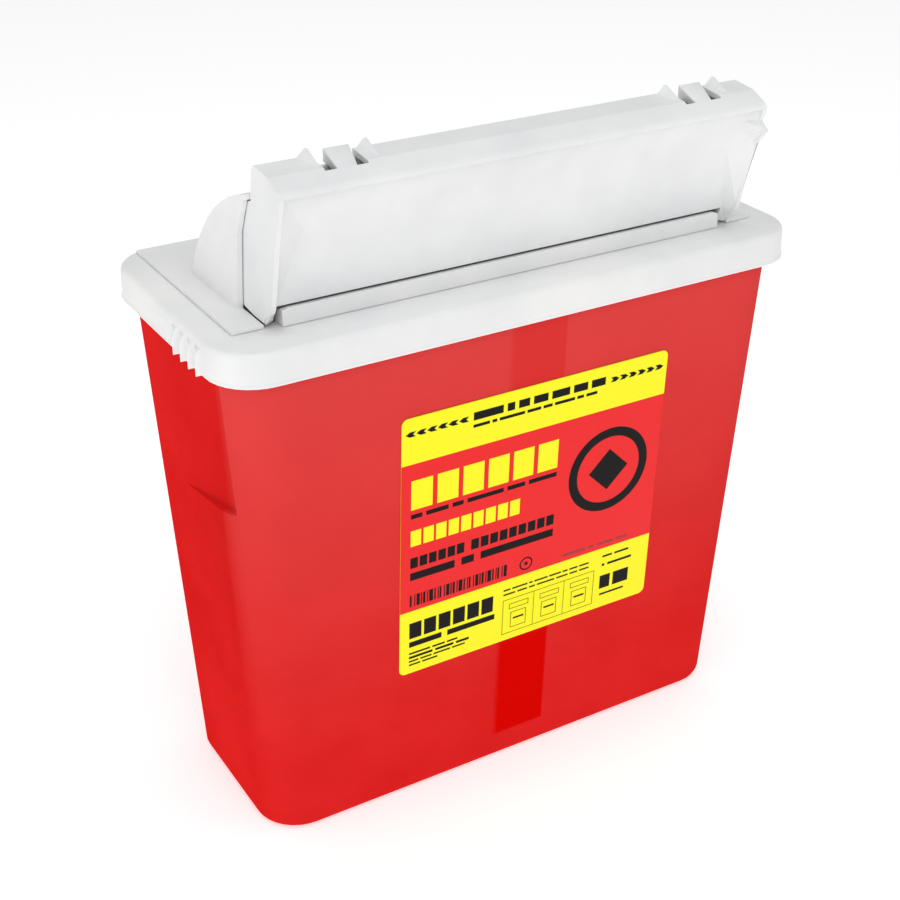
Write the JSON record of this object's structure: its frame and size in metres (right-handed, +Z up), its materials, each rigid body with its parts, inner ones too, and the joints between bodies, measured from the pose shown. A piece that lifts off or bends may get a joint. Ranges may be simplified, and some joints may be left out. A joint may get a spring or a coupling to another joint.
{
  "type": "sharps container",
  "caption": "Tapered plastic tub with a capped lid whose counterbalanced drop door swings forward to take used sharps",
  "frame": {"origin": "centre of the footprint, on the surface the tub stands on", "axes": "+X along the length, to the right seen from the front; +Y to the back, towards the wall bracket; +Z up; the door faces -Y"},
  "size_m": [0.2768, 0.1236, 0.3068],
  "materials": {
    "red_plastic": "moulded polypropylene, slightly translucent, satin",
    "label_film": "printed self-adhesive film, red and yellow",
    "white_plastic": "moulded polypropylene, off-white, satin",
    "pin_plastic": "moulded acetal, natural white",
    "steel": "drawn steel rod, plain"
  },
  "bodies": {
    "container": {"tub": "red_plastic", "front_label": "label_film"},
    "cover": {"lid": "white_plastic", "hood": "white_plastic", "pivot_pin_left": "pin_plastic", "pivot_pin_right": "pin_plastic"},
    "drop_door": {"door": "white_plastic", "tray": "white_plastic", "counterweight": "steel"},
    "catch_left": {"lock_tongue_left": "white_plastic"},
    "catch_right": {"lock_tongue_right": "white_plastic"}
  },
  "joints": [
    {"name": "lid_lift", "type": "slide", "parent": "container", "child": "cover", "axis": [0, 0, 1], "range_m": [0, 0.06]},
    {"name": "door_swing", "type": "hinge", "parent": "cover", "child": "drop_door", "pos_m": [0, -0.034, 0.257], "axis": [1, 0, 0], "range_deg": [0, 62]},
    {"name": "catch_left_press", "type": "hinge", "parent": "drop_door", "child": "catch_left", "pos_m": [-0.0786, -0.0512, 0.2998], "axis": [-1, 0, 0], "range_deg": [0, 4], "stiffness_Nm_per_rad": 0.05},
    {"name": "catch_right_press", "type": "hinge", "parent": "drop_door", "child": "catch_right", "pos_m": [0.084, -0.0512, 0.2998], "axis": [-1, 0, 0], "range_deg": [0, 4], "stiffness_Nm_per_rad": 0.05}
  ]
}
